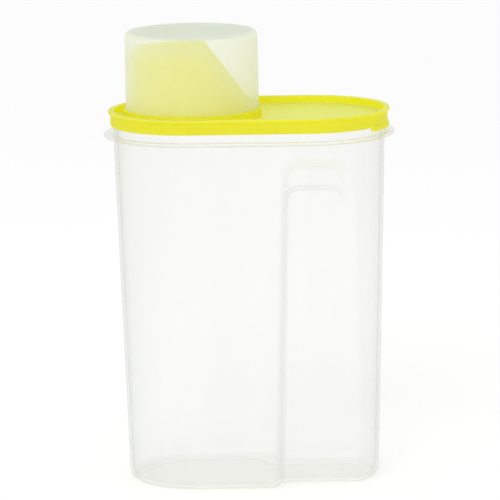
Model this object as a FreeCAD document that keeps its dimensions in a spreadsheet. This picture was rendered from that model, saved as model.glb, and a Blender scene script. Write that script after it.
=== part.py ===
import FreeCAD, Part
import math
import os
import Sketcher

# Dry-food keeper: a drafted tub with a hand grip sunk into both faces of one end, a press-fit lid
# with a pour spout, and a measuring cup turned upside down over the spout.
# Millimetres and degrees. The origin is the middle of the base, on the surface it stands on.
# X runs along the length, with the spout at -X and the grip at +X, and Z is up.

doc = FreeCAD.newDocument("FoodKeeper")
sheet = doc.addObject("Spreadsheet::Sheet", "Sizes")

driving_sizes = [
    # Plan of tub and lid: two round ends joined by straight sides
    ("straight_half", 33.6),
    ("rim_radius", 44.8),
    # Tub
    ("wall", 1.5),
    ("base_thickness", 2.4),
    ("draft", 1.52),
    ("flange_top", 204.3),
    ("flange_thickness", 1.8),
    ("flange_reach", 5.6),
    ("flange_fillet", 0.6),
    ("rim_height", 7.3),
    ("rim_fillet", 0.5),
    ("base_fillet", 5.0),
    ("foot_width", 5.0),
    ("foot_lift", 0.8),
    # Hand grip, at the base: depth from the skin, length and turn from where the floor meets the round end
    ("grip_length", 45.0),
    ("grip_drop", 29.3),
    ("grip_turn", 17.2),
    ("grip_shoulder", 50.0),
    ("grip_corner", 6.0),
    ("grip_depth", 13.4),
    ("grip_lean", 2.75),
    ("grip_flare", 18.0),
    ("grip_floor_fillet", 4.0),
    ("grip_edge_fillet", 5.5),
    # Lid
    ("lid_clearance", 0.35),
    ("lid_wall", 1.4),
    ("skirt_drop", 2.7),
    ("skirt_fillet", 0.4),
    ("panel_thickness", 1.6),
    ("upstand_height", 4.3),
    ("upstand_thickness", 2.2),
    ("upstand_draft", 4.0),
    ("upstand_fillet", 0.8),
    ("crest_reach", 1.3),
    ("crest_height", 1.6),
    ("crest_fillet", 0.6),
    ("plug_wall", 1.2),
    ("plug_depth", 3.0),
    ("tab_reach", 1.2),
    ("tab_thickness", 1.4),
    ("tab_angle", 76.0),
    ("tab_drop", 2.0),
    ("tab_round", 1.5),
    # Pour spout, moulded with the lid: the cup stands on its seat and fits over its collar
    ("seat_reach", 1.4),
    ("seat_height", 4.8),
    ("spout_inset", 1.1),
    ("spout_wall", 1.5),
    ("spout_headroom", 8.7),
    ("spout_draft", 0.75),
    ("spout_cut_start", 6.0),
    ("spout_cut_inset", 2.9),
    ("spout_lip", 0.8),
    ("collar_step", 2.7),
    ("collar_height", 3.2),
    ("collar_fillet", 0.6),
    # Measuring cup: its margin is the gap to the lid's upstand
    ("cup_margin", 5.85),
    ("cup_clearance", 0.3),
    ("cup_wall", 1.4),
    ("cup_height", 44.8),
    ("cup_draft", 0.5),
    ("cup_fillet", 2.4),
    ("cup_inner_fillet", 1.0),
    ("cup_lip_fillet", 0.4),
    # How far a cutting form runs past the solid that it cuts
    ("overrun", 5.0),
]
for row, (alias, value) in enumerate(driving_sizes, 1):
    sheet.set(f"A{row}", alias)
    sheet.set(f"B{row}", str(value))
    sheet.setAlias(f"B{row}", alias)
doc.recompute()

# Sizes that several pieces share, worked out from the sheet
rim_seat = "(Sizes.flange_top + Sizes.rim_height)"
skirt_inside = "(Sizes.rim_radius + Sizes.lid_clearance)"
skirt_outside = f"({skirt_inside} + Sizes.lid_wall)"
lid_crest = "(Sizes.panel_thickness + Sizes.upstand_height)"
plug_outside = "(Sizes.rim_radius - Sizes.wall - Sizes.lid_clearance)"
tray_inside = f"({skirt_outside} - Sizes.upstand_thickness)"
cup_outside = f"({tray_inside} - Sizes.cup_margin)"
cup_inside = f"({cup_outside} - Sizes.cup_wall)"
cup_taper = "tan(Sizes.cup_draft)"
cup_ceiling = "(Sizes.cup_height - Sizes.cup_wall)"
seat_radius = f"({cup_outside} + Sizes.seat_reach)"
seat_inside = f"({seat_radius} - Sizes.spout_wall)"
collar_radius = f"({cup_inside} - Sizes.cup_clearance)"
collar_inside = f"({collar_radius} - Sizes.spout_wall)"
spout_radius = f"({collar_radius} - Sizes.collar_step)"
spout_inside = f"({spout_radius} - Sizes.spout_wall)"
spout_height = f"(Sizes.seat_height + {cup_ceiling} - Sizes.spout_headroom)"
spout_taper = f"{spout_height} * tan(Sizes.spout_draft)"
spout_middle = "(Sizes.spout_inset - Sizes.straight_half)"
base_radius = "(Sizes.rim_radius - Sizes.flange_top * tan(Sizes.draft))"
grip_chord = f"sqrt(Sizes.grip_depth * (2 * {base_radius} - Sizes.grip_depth))"
grip_end = f"(Sizes.straight_half + {grip_chord})"


def number(expression):
    return float(sheet.evalExpression(expression))


def vector(x, y, z=0.0):
    return FreeCAD.Vector(x, y, z)


def origin_plane(body, role):
    return next(item for item in body.Origin.OriginFeatures if item.Role == role)


def sketch_on(body, name, role):
    sketch = body.newObject("Sketcher::SketchObject", name)
    sketch.AttachmentSupport = [(origin_plane(body, role), "")]
    sketch.MapMode = "FlatFace"
    return sketch


def bind(sketch, name, expression, kind, *place):
    value = number(expression)
    if kind == "Angle":
        value = math.radians(value)
    index = sketch.addConstraint(Sketcher.Constraint(kind, *place, value))
    sketch.renameConstraint(index, name)
    sketch.setExpression("Constraints." + name, expression)


def add_stadium(sketch, name, radius):
    half = number("Sizes.straight_half")
    reach = number(radius)
    right = Part.Circle(vector(half, 0), vector(0, 0, 1), reach)
    left = Part.Circle(vector(-half, 0), vector(0, 0, 1), reach)
    first = sketch.GeometryCount
    sketch.addGeometry([
        Part.ArcOfCircle(right, -math.pi / 2, math.pi / 2),
        Part.LineSegment(vector(half, reach), vector(-half, reach)),
        Part.ArcOfCircle(left, math.pi / 2, 3 * math.pi / 2),
        Part.LineSegment(vector(-half, -reach), vector(half, -reach)),
    ], False)
    for step in range(4):
        following = first + (step + 1) % 4
        sketch.addConstraint(Sketcher.Constraint("Tangent", first + step, 2, following, 1))
    sketch.addConstraint(Sketcher.Constraint("PointOnObject", first, 3, -1))
    sketch.addConstraint(Sketcher.Constraint("Symmetric", first, 3, first + 2, 3, -1, 1))
    sketch.addConstraint(Sketcher.Constraint("Equal", first, first + 2))
    bind(sketch, name + "_radius", radius, "Radius", first)
    bind(sketch, name + "_half", "Sizes.straight_half", "DistanceX", -1, 1, first, 3)


def stadium(body, name, height, *radii):
    sketch = sketch_on(body, name, "XY_Plane")
    sketch.setExpression("AttachmentOffset.Base.z", height)
    for index, radius in enumerate(radii):
        add_stadium(sketch, f"loop{index}", radius)
    return sketch


def polygon(body, name, corners):
    sketch = sketch_on(body, name, "XZ_Plane")
    points = [vector(number(x), number(z)) for x, z in corners]
    for start, end in zip(points, points[1:] + points[:1]):
        sketch.addGeometry(Part.LineSegment(start, end), False)
    for index, (x, z) in enumerate(corners):
        previous = (index - 1) % len(corners)
        sketch.addConstraint(Sketcher.Constraint("Coincident", previous, 2, index, 1))
        bind(sketch, f"corner{index}_x", x, "DistanceX", -1, 1, index, 1)
        bind(sketch, f"corner{index}_z", z, "DistanceY", -1, 1, index, 1)
    return sketch


def extrude(body, kind, name, sketch, length, taper=None, reverse=False):
    made = body.newObject("PartDesign::" + kind, name)
    made.Profile = sketch
    made.Reversed = reverse
    made.setExpression("Length", length)
    if taper:
        made.setExpression("TaperAngle", taper)
    doc.recompute()
    return made


def revolve(body, name, sketch, angle="360"):
    made = body.newObject("PartDesign::Revolution", name)
    made.Profile = sketch
    made.ReferenceAxis = (sketch, ["V_Axis"])
    made.Midplane = True
    made.setExpression("Angle", angle)
    doc.recompute()
    return made


def samples(edge):
    start, end = edge.FirstParameter, edge.LastParameter
    return [edge.valueAt(start + share * (end - start)) for share in (0.0, 0.5, 1.0)]


def fillet(body, name, radius, wanted):
    base = body.Tip
    edges = enumerate(base.Shape.Edges, 1)
    names = [f"Edge{index}" for index, edge in edges if wanted(samples(edge))]
    made = body.newObject("PartDesign::Fillet", name)
    made.Base = (base, names)
    made.setExpression("Radius", radius)
    doc.recompute()
    return made


near = 0.01


def at_level(points, level):
    return all(abs(point.z - level) < near for point in points)


def stadium_reach(point):
    beyond = max(abs(point.x) - number("Sizes.straight_half"), 0.0)
    return math.hypot(beyond, point.y)


def on_stadium(points, radius):
    return all(abs(stadium_reach(point) - radius) < near for point in points)


def on_circle(points, centre, radius):
    reaches = [math.hypot(point.x - centre.x, point.y - centre.y) for point in points]
    return all(abs(reach - radius) < near for reach in reaches)


def is_radial(points, centre):
    reaches = [math.hypot(point.x - centre.x, point.y - centre.y) for point in points]
    return max(reaches) - min(reaches) > near


# Outline of the grip in front elevation: a step at the left, a level top and a shoulder that
# falls away to the round end. The sketch lies on the grip's leaning floor.
def grip_outline(body, name, inset):
    sketch = sketch_on(body, name, "XZ_Plane")
    sketch.AttachmentOffset = FreeCAD.Placement(vector(0, 0), FreeCAD.Rotation(vector(1, 0), 1))
    sketch.setExpression("AttachmentOffset.Base.z", f"{base_radius} - Sizes.grip_depth - {inset}")
    sketch.setExpression("AttachmentOffset.Rotation.Angle", "Sizes.grip_lean")

    step_foot = f"{grip_end} - Sizes.grip_length - {inset} - Sizes.overrun * tan(Sizes.draft)"
    step_angle = "90 - Sizes.draft"
    top = f"Sizes.flange_top - Sizes.grip_drop + {inset}"
    turn_middle = f"{grip_end} - Sizes.grip_turn"
    corner = f"Sizes.grip_corner + {inset}"
    far_end = "Sizes.straight_half + Sizes.rim_radius + Sizes.overrun"

    rise = math.radians(number(step_angle))
    fall = math.radians(number("Sizes.grip_shoulder"))
    radius = number(corner)
    low = -number("Sizes.overrun")
    high = number(top)
    foot = vector(number(step_foot), low)
    turn = vector(number(turn_middle), high - radius)
    step_up = vector(math.cos(rise), math.sin(rise))
    step_out = vector(-math.sin(rise), math.cos(rise))
    height = high - radius - low
    arc_shift = (height - radius * step_out.y) / step_up.y
    step_head = foot + step_up * arc_shift
    corner_middle = step_head - step_out * radius
    shoulder_out = vector(math.sin(fall), math.cos(fall))
    shoulder_down = vector(math.cos(fall), -math.sin(fall))
    shoulder_head = turn + shoulder_out * radius
    far_x = number(far_end)
    shoulder_foot = shoulder_head + shoulder_down * ((far_x - shoulder_head.x) / shoulder_down.x)
    far_foot = vector(far_x, low)
    normal = vector(0, 0, 1)
    corner_circle = Part.Circle(corner_middle, normal, radius)
    turn_circle = Part.Circle(turn, normal, radius)
    sketch.addGeometry([
        Part.LineSegment(foot, step_head),
        Part.ArcOfCircle(corner_circle, math.pi / 2, rise + math.pi / 2),
        Part.LineSegment(vector(corner_middle.x, high), vector(turn.x, high)),
        Part.ArcOfCircle(turn_circle, math.pi / 2 - fall, math.pi / 2),
        Part.LineSegment(shoulder_head, shoulder_foot),
        Part.LineSegment(shoulder_foot, far_foot),
        Part.LineSegment(far_foot, foot),
    ], False)
    step, arc, level, bend, shoulder, side, bottom = range(7)
    for joined in ((step, 2, arc, 2), (arc, 1, level, 1), (level, 2, bend, 2), (bend, 1, shoulder, 1)):
        sketch.addConstraint(Sketcher.Constraint("Tangent", *joined))
    for joined in ((shoulder, 2, side, 1), (side, 2, bottom, 1), (bottom, 2, step, 1)):
        sketch.addConstraint(Sketcher.Constraint("Coincident", *joined))
    sketch.addConstraint(Sketcher.Constraint("Horizontal", level))
    sketch.addConstraint(Sketcher.Constraint("Horizontal", bottom))
    sketch.addConstraint(Sketcher.Constraint("Vertical", side))
    sketch.addConstraint(Sketcher.Constraint("Equal", arc, bend))
    bind(sketch, "corner", corner, "Radius", arc)
    bind(sketch, "step_lean", step_angle, "Angle", step)
    bind(sketch, "shoulder_fall", "-Sizes.grip_shoulder", "Angle", shoulder)
    bind(sketch, "step_foot", step_foot, "DistanceX", -1, 1, step, 1)
    bind(sketch, "low", "-Sizes.overrun", "DistanceY", -1, 1, step, 1)
    bind(sketch, "top", top, "DistanceY", -1, 1, level, 1)
    bind(sketch, "turn", turn_middle, "DistanceX", -1, 1, bend, 3)
    bind(sketch, "far_end", far_end, "DistanceX", -1, 1, side, 1)
    return sketch


# The tub's form, drawn in by an inset: the outside at 0, the cavity at the wall's thickness
def tub_form(name, inset, floor, above):
    body = doc.addObject("PartDesign::Body", name)
    plan = stadium(body, name + "_plan", "Sizes.flange_top", f"Sizes.rim_radius - {inset}")
    extrude(body, "Pad", name + "_wall", plan, f"Sizes.flange_top - {floor}", "-Sizes.draft", True)
    extrude(body, "Pad", name + "_rim", plan, f"Sizes.rim_height + {above}")
    outline = grip_outline(body, name + "_grip_outline", inset)
    front = extrude(body, "Pocket", name + "_grip", outline, "Sizes.rim_radius", "Sizes.grip_flare", True)
    both = body.newObject("PartDesign::Mirrored", name + "_grips")
    both.Originals = [front]
    both.MirrorPlane = (origin_plane(body, "XZ_Plane"), [""])
    body.Tip = both
    doc.recompute()
    return body


def soften_tub(body, inset, floor):
    base = number(floor)
    top = number("Sizes.flange_top")
    slope = math.tan(math.radians(number("Sizes.draft")))
    lean = math.tan(math.radians(number("Sizes.grip_lean")))
    grip_half = number(f"{base_radius} - Sizes.grip_depth - {inset}")
    rim = number(f"Sizes.rim_radius - {inset}")
    seam = number("Sizes.straight_half")

    def on_grip_floor(points):
        return all(abs(abs(point.y) - grip_half - point.z * lean) < near for point in points)

    def on_skin(points):
        gaps = [stadium_reach(point) - rim + (top - point.z) * slope for point in points]
        return all(abs(gap) < near for gap in gaps)

    def on_side(points):
        return base + near < points[1].z < top - near

    def is_seam(points):
        return all(abs(abs(point.x) - seam) < near for point in points)

    fillet(body, body.Name + "_grip_floor", f"Sizes.grip_floor_fillet + {inset}",
           lambda points: on_grip_floor(points) and on_side(points) and not on_skin(points))
    fillet(body, body.Name + "_grip_edge", f"Sizes.grip_edge_fillet - {inset}",
           lambda points: on_skin(points) and on_side(points) and not is_seam(points))
    fillet(body, body.Name + "_base_edge", f"Sizes.base_fillet - {inset}",
           lambda points: at_level(points, base))


def cut(name, base, tool):
    made = doc.addObject("Part::Cut", name)
    made.Base = base
    made.Tool = tool
    doc.recompute()
    return made


# Tub
outside = tub_form("outside", "0", "0", "0")
soften_tub(outside, "0", "0")
flange_plan = stadium(outside, "flange_plan", "Sizes.flange_top", "Sizes.rim_radius + Sizes.flange_reach")
extrude(outside, "Pad", "flange", flange_plan, "Sizes.flange_thickness", None, True)
flange_edge = number("Sizes.rim_radius + Sizes.flange_reach")
fillet(outside, "flange_edge", "Sizes.flange_fillet", lambda points: on_stadium(points, flange_edge))
rim_level = number(rim_seat)
fillet(outside, "rim_edge", "Sizes.rim_fillet", lambda points: at_level(points, rim_level))

cavity = tub_form("cavity", "Sizes.wall", "Sizes.base_thickness", "Sizes.overrun")
soften_tub(cavity, "Sizes.wall", "Sizes.base_thickness")
shell = cut("tub_shell", outside, cavity)

# A shallow hollow under the base leaves a foot ring along its edge
hollow_inset = "(Sizes.base_fillet + Sizes.foot_width)"
hollow_form = tub_form("hollow_form", hollow_inset, "-Sizes.overrun", "0")
slab = doc.addObject("Part::Box", "hollow_slab")
slab.setExpression("Length", "2 * (Sizes.straight_half + Sizes.rim_radius + Sizes.overrun)")
slab.setExpression("Width", "2 * (Sizes.rim_radius + Sizes.overrun)")
slab.setExpression("Height", "Sizes.foot_lift + Sizes.overrun")
slab.setExpression("Placement.Base.x", "-Length / 2")
slab.setExpression("Placement.Base.y", "-Width / 2")
slab.setExpression("Placement.Base.z", "-Sizes.overrun")
hollow = doc.addObject("Part::Common", "foot_hollow")
hollow.Base = hollow_form
hollow.Tool = slab
doc.recompute()
container = cut("container_body", shell, hollow)

# Lid: heights are measured from the rim that its panel rests on
lid = doc.addObject("PartDesign::Body", "lid")
lid.setExpression("Placement.Base.z", rim_seat)
cap_plan = stadium(lid, "cap_plan", "-Sizes.skirt_drop", skirt_outside)
extrude(lid, "Pad", "cap", cap_plan, f"Sizes.skirt_drop + {lid_crest}")
crest_plan = stadium(lid, "crest_plan", lid_crest, f"{skirt_outside} + Sizes.crest_reach")
extrude(lid, "Pad", "crest", crest_plan, "Sizes.crest_height", None, True)
tray_plan = stadium(lid, "tray_plan", lid_crest, tray_inside)
extrude(lid, "Pocket", "tray", tray_plan, "Sizes.upstand_height", "-Sizes.upstand_draft")
seat_plan = stadium(lid, "seat_plan", "-Sizes.skirt_drop", skirt_inside)
extrude(lid, "Pocket", "seat", seat_plan, "Sizes.skirt_drop", None, True)
crest_level = number(lid_crest)
panel_level = number("Sizes.panel_thickness")
crest_edge = number(f"{skirt_outside} + Sizes.crest_reach")
fillet(lid, "crest_edge", "Sizes.crest_fillet",
       lambda points: at_level(points, crest_level) or on_stadium(points, crest_edge))
fillet(lid, "tray_edge", "Sizes.upstand_fillet", lambda points: at_level(points, panel_level))
skirt_foot = number("-Sizes.skirt_drop")
skirt_face = number(skirt_outside)
fillet(lid, "skirt_edge", "Sizes.skirt_fillet",
       lambda points: at_level(points, skirt_foot) and on_stadium(points, skirt_face))

# The plug ring under the panel goes inside the rim, and the lift tab flares out of the skirt's foot
plug_plan = stadium(lid, "plug_plan", "0", plug_outside, f"{plug_outside} - Sizes.plug_wall")
extrude(lid, "Pad", "plug", plug_plan, "Sizes.plug_depth", None, True)
tab_head = "2 * Sizes.tab_thickness - Sizes.skirt_drop"
tab_foot = "-Sizes.skirt_drop - Sizes.tab_drop"
tab_profile = polygon(lid, "tab_profile", [
    (f"{skirt_outside} - 0.75 * Sizes.lid_wall", tab_head),
    (f"{skirt_outside} + Sizes.tab_reach - Sizes.tab_thickness", tab_foot),
    (f"{skirt_outside} + Sizes.tab_reach", tab_foot),
    (f"{skirt_outside} - 0.25 * Sizes.lid_wall", tab_head),
])
tab_profile.setExpression("AttachmentOffset.Base.x", "Sizes.straight_half")
revolve(lid, "lift_tab", tab_profile, "Sizes.tab_angle")
tab_level = number(tab_foot)
tab_middle = vector(number("Sizes.straight_half"), 0)
fillet(lid, "tab_ends", "Sizes.tab_round",
       lambda points: at_level(points, tab_level) and is_radial(points, tab_middle))

# The pour spout is one thin wall that rises in two steps, the cup's seat and its collar, is open
# through the panel, and is cut off obliquely
seat_top = "Sizes.panel_thickness + Sizes.seat_height"
collar_top = f"{seat_top} + Sizes.collar_height"
spout_top = f"Sizes.panel_thickness + {spout_height}"
cut_foot = f"{collar_top} + Sizes.spout_lip"
spout_profile = polygon(lid, "spout_profile", [
    (seat_inside, "0"),
    (seat_radius, "0"),
    (seat_radius, seat_top),
    (collar_radius, seat_top),
    (collar_radius, collar_top),
    (spout_radius, collar_top),
    (f"{spout_radius} - {spout_taper}", spout_top),
    (f"{spout_inside} - {spout_taper}", spout_top),
    (spout_inside, f"{collar_top} - Sizes.spout_wall"),
    (collar_inside, f"{collar_top} - Sizes.spout_wall"),
    (collar_inside, f"{seat_top} - Sizes.spout_wall"),
    (seat_inside, f"{seat_top} - Sizes.spout_wall"),
])
spout_profile.setExpression("AttachmentOffset.Base.x", spout_middle)
revolve(lid, "spout", spout_profile)
steps = [(number(seat_top), number(seat_radius)), (number(collar_top), number(collar_radius))]
middle = vector(number(spout_middle), 0)
fillet(lid, "step_edges", "Sizes.collar_fillet",
       lambda points: any(at_level(points, level) and on_circle(points, middle, reach) for level, reach in steps))
passage_plan = sketch_on(lid, "passage_plan", "XY_Plane")
passage_plan.setExpression("AttachmentOffset.Base.x", spout_middle)
passage_plan.addGeometry(Part.Circle(vector(0, 0), vector(0, 0, 1), number(seat_inside)), False)
passage_plan.addConstraint(Sketcher.Constraint("Coincident", 0, 3, -1, 1))
bind(passage_plan, "passage", seat_inside, "Radius", 0)
extrude(lid, "Pocket", "passage", passage_plan, "Sizes.panel_thickness", None, True)
mouth_profile = polygon(lid, "mouth_profile", [
    ("Sizes.spout_cut_start", spout_top),
    (f"{spout_radius} - Sizes.spout_cut_inset", cut_foot),
    (f"{spout_radius} + Sizes.overrun", cut_foot),
    (f"{spout_radius} + Sizes.overrun", f"{spout_top} + Sizes.overrun"),
    ("Sizes.spout_cut_start", f"{spout_top} + Sizes.overrun"),
])
mouth_profile.setExpression("AttachmentOffset.Base.x", spout_middle)
mouth = extrude(lid, "Pocket", "mouth", mouth_profile, f"2 * ({spout_radius} + Sizes.overrun)")
mouth.Midplane = True
doc.recompute()

# Measuring cup: heights are measured from its mouth, which stands on the spout's seat
cup = doc.addObject("PartDesign::Body", "measuring_cup")
cup.setExpression("Placement.Base.x", spout_middle)
cup.setExpression("Placement.Base.z", f"{rim_seat} + {seat_top}")
cup_profile = polygon(cup, "cup_profile", [
    (cup_inside, "0"),
    (cup_outside, "0"),
    (f"{cup_outside} - Sizes.cup_height * {cup_taper}", "Sizes.cup_height"),
    ("0", "Sizes.cup_height"),
    ("0", cup_ceiling),
    (f"{cup_inside} - {cup_ceiling} * {cup_taper}", cup_ceiling),
])
revolve(cup, "cup_form", cup_profile)
cup_top = number("Sizes.cup_height")
ceiling = number(cup_ceiling)
fillet(cup, "cup_edge", "Sizes.cup_fillet", lambda points: at_level(points, cup_top))
fillet(cup, "cup_inner_edge", "Sizes.cup_inner_fillet", lambda points: at_level(points, ceiling))
fillet(cup, "cup_lip", "Sizes.cup_lip_fillet", lambda points: at_level(points, 0.0))

nodes = (container, lid, cup)
for item in doc.Objects:
    if {"Invalid", "Error"} & set(item.State):
        raise RuntimeError(f"{item.Name} failed: {item.State}")
for node in nodes:
    if node.Shape.isNull() or not node.Shape.isValid() or len(node.Shape.Solids) != 1:
        raise RuntimeError(f"{node.Label} is not one valid solid")

os.makedirs("parts", exist_ok=True)
for node in nodes:
    node.Shape.exportStep(f"parts/{node.Label}.step")
    print(f"{node.Label}: {node.Shape.Volume:.0f} cubic mm")
print(f"cavity up to the rim: {(outside.Shape.Volume - shell.Shape.Volume) / 1000:.0f} ml")
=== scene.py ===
import math

import bpy
from mathutils import Matrix, Vector

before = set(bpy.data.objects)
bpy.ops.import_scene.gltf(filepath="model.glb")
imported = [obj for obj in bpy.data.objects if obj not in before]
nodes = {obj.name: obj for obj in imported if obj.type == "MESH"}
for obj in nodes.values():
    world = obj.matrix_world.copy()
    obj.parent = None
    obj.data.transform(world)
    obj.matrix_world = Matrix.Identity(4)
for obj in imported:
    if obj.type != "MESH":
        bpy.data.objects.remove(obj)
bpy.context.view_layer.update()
scene = bpy.context.scene
scene.view_settings.view_transform = "Standard"
scene.cycles.transparent_max_bounces = 32  # a sight line can cross a dozen thin walls
scene.cycles.max_bounces = 24  # pale walls hand the light on many times before it is gone
scene.cycles.diffuse_bounces = 16
scene.cycles.transmission_bounces = 16
print("frame loaded:", ", ".join(sorted(nodes)))


def srgb(text):  # sRGB hex to linear RGBA
    parts = [int(text[at:at + 2], 16) / 255 for at in (1, 3, 5)]
    linear = [part / 12.92 if part <= 0.04045 else ((part + 0.055) / 1.055) ** 2.4 for part in parts]
    return (*linear, 1.0)


def perMetre(sizeMm):  # a pattern's scale from its real size
    return 1000.0 / sizeMm


def addNode(tree, kind, values=None, links=None, **settings):
    node = tree.nodes.new("ShaderNode" + kind)
    for name, value in settings.items():
        setattr(node, name, value)
    for socket, value in (values or {}).items():
        node.inputs[socket].default_value = value
    for socket, source in (links or {}).items():
        tree.links.new(source, node.inputs[socket])
    return node


def emptyMaterial(name):
    material = bpy.data.materials.new(name)
    material.use_nodes = True
    material.node_tree.nodes.clear()
    return material, material.node_tree


# Natural polypropylene, injection moulded: each wall lets most light straight through and scatters
# the rest, so a wall seen edge-on turns pale grey and one seen straight on almost vanishes.
def mouldedPolypropylene(name, look):
    material, tree = emptyMaterial(name)
    place = addNode(tree, "TexCoord").outputs["Object"]
    stretch = (1.0, 1.0, 1 / look["bandStretch"])
    stretched = addNode(tree, "Mapping", {"Scale": stretch}, {"Vector": place}).outputs["Vector"]
    bands = addNode(tree, "TexNoise", {"Scale": perMetre(look["bandMm"]), "Detail": 2.0},
                    {"Vector": stretched}).outputs["Fac"]
    peel = addNode(tree, "TexNoise", {"Scale": perMetre(look["peelMm"]), "Detail": 2.0},
                   {"Vector": place}).outputs["Fac"]
    bump = addNode(tree, "Bump", {"Strength": look["peelStrength"], "Distance": look["peelDepthMm"] / 1000},
                   {"Height": peel}).outputs["Normal"]
    tint = addNode(tree, "Mix", {"A": srgb(look["colour"]), "B": srgb(look["bandColour"])},
                   {"Factor": bands}, data_type="RGBA").outputs["Result"]
    clear = addNode(tree, "MapRange", {"To Min": 1 - look["hazeMost"], "To Max": 1 - look["hazeLeast"]},
                    {"Value": bands}).outputs["Result"]

    # Level faces near given heights get their own colour and haze; on the tub's base and the cup's upturned
    # floor that colour is painted light and painted shade
    normal = addNode(tree, "NewGeometry").outputs["Normal"]
    lift = addNode(tree, "SeparateXYZ", None, {0: normal}).outputs["Z"]
    lift = addNode(tree, "Math", None, {0: lift}, operation="ABSOLUTE").outputs[0]
    level = addNode(tree, "MapRange", {"From Min": look["levelFrom"], "From Max": look["levelFull"]},
                    {"Value": lift}).outputs["Result"]
    height = addNode(tree, "SeparateXYZ", None, {0: place}).outputs["Z"]
    for face in look["levelFaces"]:
        near = addNode(tree, "Math", {1: face["height"], 2: face["within"]},
                       {0: height}, operation="COMPARE").outputs[0]
        here = addNode(tree, "Math", None, {0: near, 1: level}, operation="MULTIPLY").outputs[0]
        tint = addNode(tree, "Mix", {"B": srgb(face["colour"])},
                       {"Factor": here, "A": tint}, data_type="RGBA").outputs["Result"]
        clear = addNode(tree, "Mix", {"B": 1 - face["haze"]},
                        {"Factor": here, "A": clear}).outputs["Result"]

    # The longer the way through the wall, the more of the light is scattered
    facing = addNode(tree, "LayerWeight", {"Blend": 0.5}).outputs["Facing"]
    straight = addNode(tree, "Math", {0: 1.0}, {1: facing}, operation="SUBTRACT").outputs[0]
    straight = addNode(tree, "Math", {1: 1 / look["longestWay"]},
                       {0: straight}, operation="MAXIMUM").outputs[0]
    way = addNode(tree, "Math", {0: 1.0}, {1: straight}, operation="DIVIDE").outputs[0]
    passed = addNode(tree, "Math", None, {0: clear, 1: way}, operation="POWER").outputs[0]

    body = addNode(tree, "BsdfDiffuse", None, {"Color": tint, "Normal": bump}).outputs[0]
    glow = addNode(tree, "BsdfTranslucent", None, {"Color": tint}).outputs[0]
    scatter = addNode(tree, "MixShader", {0: look["glow"]}, {1: body, 2: glow}).outputs[0]
    through = addNode(tree, "BsdfTransparent").outputs[0]
    wall = addNode(tree, "MixShader", None, {0: passed, 1: scatter, 2: through}).outputs[0]
    gloss = addNode(tree, "BsdfGlossy", {"Roughness": look["roughness"]}, {"Normal": bump}).outputs[0]
    grazing = addNode(tree, "Math", {1: look["glossRise"]}, {0: facing}, operation="POWER").outputs[0]
    shine = addNode(tree, "MapRange", {"To Min": look["mirror"], "To Max": look["mirrorGrazing"]},
                    {"Value": grazing}).outputs["Result"]
    skin = addNode(tree, "MixShader", None, {0: shine, 1: wall, 2: gloss}).outputs[0]
    addNode(tree, "OutputMaterial", None, {"Surface": skin})
    return material


tubLook = {
    "colour": "#E3E7E0",
    "bandColour": "#E1E6DF",
    "bandMm": 24.0,  # faint upright bands of haze where the melt flowed up the wall
    "bandStretch": 12.0,
    "hazeLeast": 0.01,  # share of the light that one face of the wall scatters
    "hazeMost": 0.066,
    "longestWay": 7.0,  # longest way through the wall that counts, in wall thicknesses
    "levelFrom": 0.98,  # upward part of a face's normal, where it begins to count as level
    "levelFull": 0.998,
    "levelFaces": [  # heights in metres
        {"height": 0.0, "within": 0.02, "colour": "#FDFEFF", "haze": 0.02},  # the base is clearest, and its colour is painted lighter and bluer to offset the shade under and inside the tub
        {"height": 0.2, "within": 0.04, "colour": "#EDEEF4", "haze": 0.06},  # flange and rim are hazier
    ],
    "peelMm": 3.0,  # faint ripple left by the polished tool
    "peelDepthMm": 0.02,
    "peelStrength": 0.15,
    "glow": 0.45,  # share of the scattered light that goes on through the wall
    "roughness": 0.16,
    "mirror": 0.035,  # reflection seen straight on
    "mirrorGrazing": 0.6,  # reflection at a glancing angle
    "glossRise": 5.0,  # how steeply it rises from one to the other
}
tubMaterial = mouldedPolypropylene("natural polypropylene, polished mould", tubLook)
nodes["container_body"].material_slots[0].material = tubMaterial
print("tub finished")

cupLook = {
    "colour": "#FAFCF6",
    "bandColour": "#F8FBF3",
    "bandMm": 24.0,
    "bandStretch": 8.0,
    "hazeLeast": 0.275,  # frosting scatters far more than the tub's wall does
    "hazeMost": 0.3,
    "longestWay": 8.0,
    "levelFrom": 0.98,
    "levelFull": 0.998,
    "levelFaces": [
        {"height": 0.26, "within": 0.02, "colour": "#E6EDE6", "haze": 0.3},  # its upturned floor is painted greyer, painted shade for the weak light from above
    ],
    "peelMm": 1.5,  # grain of the frosted tool
    "peelDepthMm": 0.02,
    "peelStrength": 0.25,
    "glow": 0.55,
    "roughness": 0.3,
    "mirror": 0.03,
    "mirrorGrazing": 0.5,
    "glossRise": 5.0,
}
cupMaterial = mouldedPolypropylene("natural polypropylene, frosted mould", cupLook)
nodes["measuring_cup"].material_slots[0].material = cupMaterial
print("cup finished")


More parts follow.
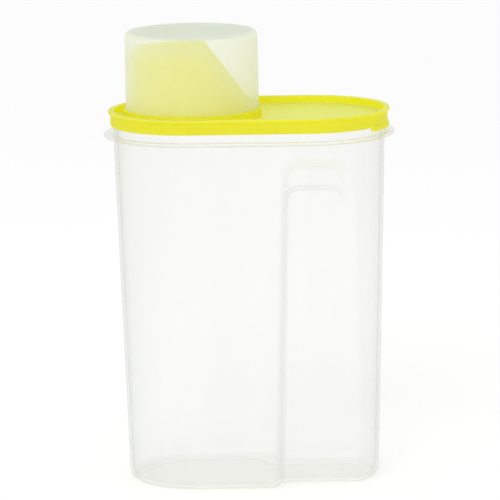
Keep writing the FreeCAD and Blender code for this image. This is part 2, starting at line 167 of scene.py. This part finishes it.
# Low-density polyethylene, injection moulded: a waxy satin skin, and thin walls that glow with the
# light behind them without showing what is there.
def mouldedPolyethylene(name, look):
    material, tree = emptyMaterial(name)
    place = addNode(tree, "TexCoord").outputs["Object"]
    flow = addNode(tree, "TexNoise", {"Scale": perMetre(look["flowMm"]), "Detail": 3.0},
                   {"Vector": place}).outputs["Fac"]
    peel = addNode(tree, "TexNoise", {"Scale": perMetre(look["peelMm"]), "Detail": 2.0},
                   {"Vector": place}).outputs["Fac"]
    bump = addNode(tree, "Bump", {"Strength": look["peelStrength"], "Distance": look["peelDepthMm"] / 1000},
                   {"Height": peel}).outputs["Normal"]
    rough = addNode(tree, "MapRange", {"To Min": look["roughLeast"], "To Max": look["roughMost"]},
                    {"Value": peel}).outputs["Result"]
    tint = addNode(tree, "Mix", {"A": srgb(look["colour"]), "B": srgb(look["flowColour"])},
                   {"Factor": flow}, data_type="RGBA").outputs["Result"]

    # Upward faces are painted paler, a painted sheen standing in for the bright surroundings glancing off
    # them, apart from the spout and its seat
    normal = addNode(tree, "NewGeometry").outputs["Normal"]
    lift = addNode(tree, "SeparateXYZ", None, {0: normal}).outputs["Z"]
    upward = addNode(tree, "MapRange", {"From Min": look["upwardFrom"], "From Max": look["upwardFull"]},
                     {"Value": lift}).outputs["Result"]
    plan = addNode(tree, "VectorMath", {1: (1.0, 1.0, 0.0)}, {0: place}, operation="MULTIPLY").outputs[0]
    fromAxis = addNode(tree, "VectorMath", {1: look["spoutAxis"]}, {0: plan}, operation="DISTANCE")
    reach = look["spoutReach"]
    beside = addNode(tree, "MapRange", {"From Min": reach, "From Max": reach + look["spoutBlend"]},
                     {"Value": fromAxis.outputs["Value"]}).outputs["Result"]
    # mask of the painted sheen: upward faces away from the spout, painted paler below
    polished = addNode(tree, "Math", None, {0: upward, 1: beside}, operation="MULTIPLY").outputs[0]
    tint = addNode(tree, "Mix", {"B": srgb(look["paintedSheenColour"])},
                   {"Factor": polished, "A": tint}, data_type="RGBA").outputs["Result"]

    body = addNode(tree, "BsdfPrincipled", {"IOR": look["ior"]},
                   {"Base Color": tint, "Roughness": rough, "Normal": bump}).outputs[0]
    glow = addNode(tree, "BsdfTranslucent", {"Color": srgb(look["glowColour"])}).outputs[0]
    skin = addNode(tree, "MixShader", {0: look["glow"]}, {1: body, 2: glow}).outputs[0]
    addNode(tree, "OutputMaterial", None, {"Surface": skin})
    return material


lidLook = {
    "colour": "#F1EE4A",
    "flowColour": "#EEEA40",
    "flowMm": 45.0,  # slow drift of the pigment in the melt
    # painted sheen: the pale colour laid on upward faces in place of reflected light
    "paintedSheenColour": "#DDEAAE",
    "upwardFrom": 0.4,  # upward part of a face's normal, where the painted sheen begins
    "upwardFull": 0.9,
    "spoutAxis": (-0.0325, 0.0, 0.0),  # metres
    "spoutReach": 0.041,
    "spoutBlend": 0.002,
    "glowColour": "#FBF91E",
    "glow": 0.62,  # share of the light that comes through from behind
    "peelMm": 1.2,  # grain of the satin tool
    "peelDepthMm": 0.03,
    "peelStrength": 0.2,
    "roughLeast": 0.24,
    "roughMost": 0.34,
    "ior": 1.51,
}
lidMaterial = mouldedPolyethylene("yellow low-density polyethylene, satin mould", lidLook)
nodes["lid"].material_slots[0].material = lidMaterial
print("lid finished")

# White paper floor that curves up into a backdrop
studio = {
    "floorSize": 7.0,
    "wallHeight": 3.0,
    "sweepRadius": 1.2,
    "sweepSteps": 24,
    "smoothAngle": 30.0,  # degrees
    "colour": "#FFFFFF",
    "behind": 3.0,  # from the object to the foot of the backdrop
    "tolerance": 0.01,  # for picking edges by their place
}
bpy.ops.object.select_all(action="DESELECT")
floorMiddle = (0, studio["behind"] - studio["floorSize"] / 2, 0)
bpy.ops.mesh.primitive_plane_add(size=studio["floorSize"], location=floorMiddle)
floor = bpy.context.object
floor.name = "studio_floor"
bpy.ops.object.transform_apply(location=True)
bpy.ops.object.mode_set(mode="EDIT")
bpy.ops.mesh.select_mode(type="EDGE")
bpy.ops.mesh.select_all(action="DESELECT")
bpy.ops.object.mode_set(mode="OBJECT")
farEdge = studio["behind"] - studio["tolerance"]
for edge in floor.data.edges:  # the far edge
    edge.select = all(floor.data.vertices[v].co.y > farEdge for v in edge.vertices)
bpy.ops.object.mode_set(mode="EDIT")
bpy.ops.mesh.extrude_region_move(TRANSFORM_OT_translate={"value": (0, 0, studio["wallHeight"])})
bpy.ops.mesh.select_all(action="DESELECT")
bpy.ops.object.mode_set(mode="OBJECT")
for edge in floor.data.edges:  # the fold between floor and backdrop
    ends = [floor.data.vertices[v].co for v in edge.vertices]
    edge.select = all(end.y > farEdge and abs(end.z) < studio["tolerance"] for end in ends)
bpy.ops.object.mode_set(mode="EDIT")
bpy.ops.mesh.bevel(offset=studio["sweepRadius"], segments=studio["sweepSteps"], affect="EDGES")
bpy.ops.object.mode_set(mode="OBJECT")
bpy.ops.object.shade_smooth_by_angle(angle=math.radians(studio["smoothAngle"]))
floorMaterial, floorTree = emptyMaterial("matt white paper")
paper = addNode(floorTree, "BsdfDiffuse", {"Color": srgb(studio["colour"])})
addNode(floorTree, "OutputMaterial", None, {"Surface": paper.outputs[0]})
floor.data.materials.append(floorMaterial)

light = {
    "skyColour": "#FFFFFF",
    "skyForLight": 0.92,  # what lights the object
    "skyToSee": 1.0,  # what the camera, gloss and glass see
    "keyPower": 10.0,
    "keySize": 1.4,
    "keyPlace": (-0.7, -1.8, 1.8),
    "fillPower": 4.0,
    "fillSize": 1.6,
    "fillPlace": (-0.1, -2.1, 1.2),
    "aim": (0.0, 0.0, 0.12),
}
world = bpy.data.worlds.new("white studio")
scene.world = world
world.use_nodes = True
sky = world.node_tree
sky.nodes.clear()
ray = addNode(sky, "LightPath").outputs
seen = addNode(sky, "Math", None, {0: ray["Is Camera Ray"], 1: ray["Is Glossy Ray"]}, operation="MAXIMUM")
seen = addNode(sky, "Math", None, {0: seen.outputs[0], 1: ray["Is Transmission Ray"]}, operation="MAXIMUM")
strength = addNode(sky, "MapRange", {"To Min": light["skyForLight"], "To Max": light["skyToSee"]},
                   {"Value": seen.outputs[0]})
air = addNode(sky, "Background", {"Color": srgb(light["skyColour"])},
              {"Strength": strength.outputs["Result"]})
addNode(sky, "OutputWorld", None, {"Surface": air.outputs[0]})


def softbox(name, place, size, power):
    lamp = bpy.data.lights.new(name, "AREA")
    lamp.size = size
    lamp.energy = power
    holder = bpy.data.objects.new(name, lamp)
    scene.collection.objects.link(holder)
    holder.location = place
    aim = Vector(light["aim"]) - Vector(place)
    holder.rotation_euler = aim.to_track_quat("-Z", "Y").to_euler()


softbox("key softbox", light["keyPlace"], light["keySize"], light["keyPower"])
softbox("fill softbox", light["fillPlace"], light["fillSize"], light["fillPower"])
print("studio lit")

shot = {
    "target": (-0.00061, 0.0, 0.1337),
    "distance": 1.9371,
    "elevation": 10.998,  # degrees above the horizon
    "azimuth": 0.85,
    "roll": -0.955,
    "lens": 239.5,  # millimetres, on a sensor 36 mm wide
    "sensor": 36.0,
}
camera = bpy.data.cameras.new("camera")
camera.sensor_width = shot["sensor"]
camera.lens = shot["lens"]
cameraHolder = bpy.data.objects.new("camera", camera)
scene.collection.objects.link(cameraHolder)
tilt = math.radians(shot["elevation"])
turn = math.radians(shot["azimuth"])
back = Vector((math.sin(turn) * math.cos(tilt), -math.cos(turn) * math.cos(tilt), math.sin(tilt)))
target = Vector(shot["target"])
aimed = (-back).to_track_quat("-Z", "Y").to_matrix().to_4x4()
rolled = Matrix.Rotation(math.radians(shot["roll"]), 4, "Z")
cameraHolder.matrix_world = Matrix.Translation(target + back * shot["distance"]) @ aimed @ rolled
scene.camera = cameraHolder
print("camera set")
